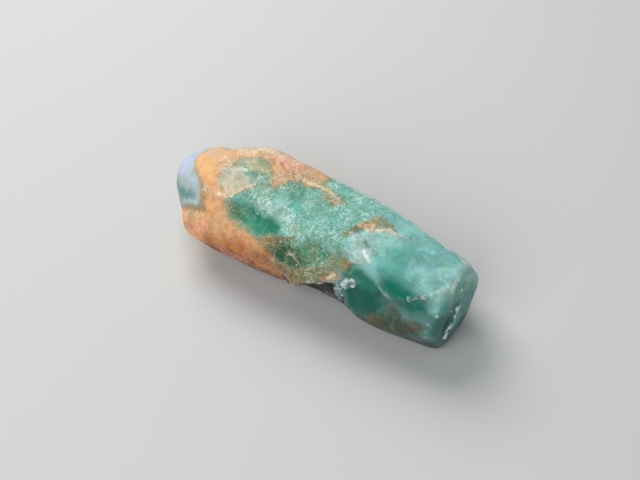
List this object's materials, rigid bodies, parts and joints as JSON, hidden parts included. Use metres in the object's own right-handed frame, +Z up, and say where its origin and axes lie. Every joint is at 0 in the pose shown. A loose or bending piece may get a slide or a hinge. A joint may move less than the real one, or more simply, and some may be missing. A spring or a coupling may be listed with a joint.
{
  "type": "emerald crystal",
  "caption": "Single six-sided emerald crystal lying on a prism face, with a blunt tip, an iron-stained crust over one end and a broken, bevelled end.",
  "frame": {"origin": "middle of the footprint, at the height of the surface that the crystal lies on", "axes": "+X along the crystal from its blunt crusted tip to its broken end, +Y to the back, +Z up"},
  "size_m": [0.0196, 0.0066, 0.0058],
  "materials": {
    "emerald": "cloudy green with a frosted skin and an orange, iron-stained crust"
  },
  "bodies": {
    "root": {"emerald_crystal": "emerald"}
  },
  "joints": []
}
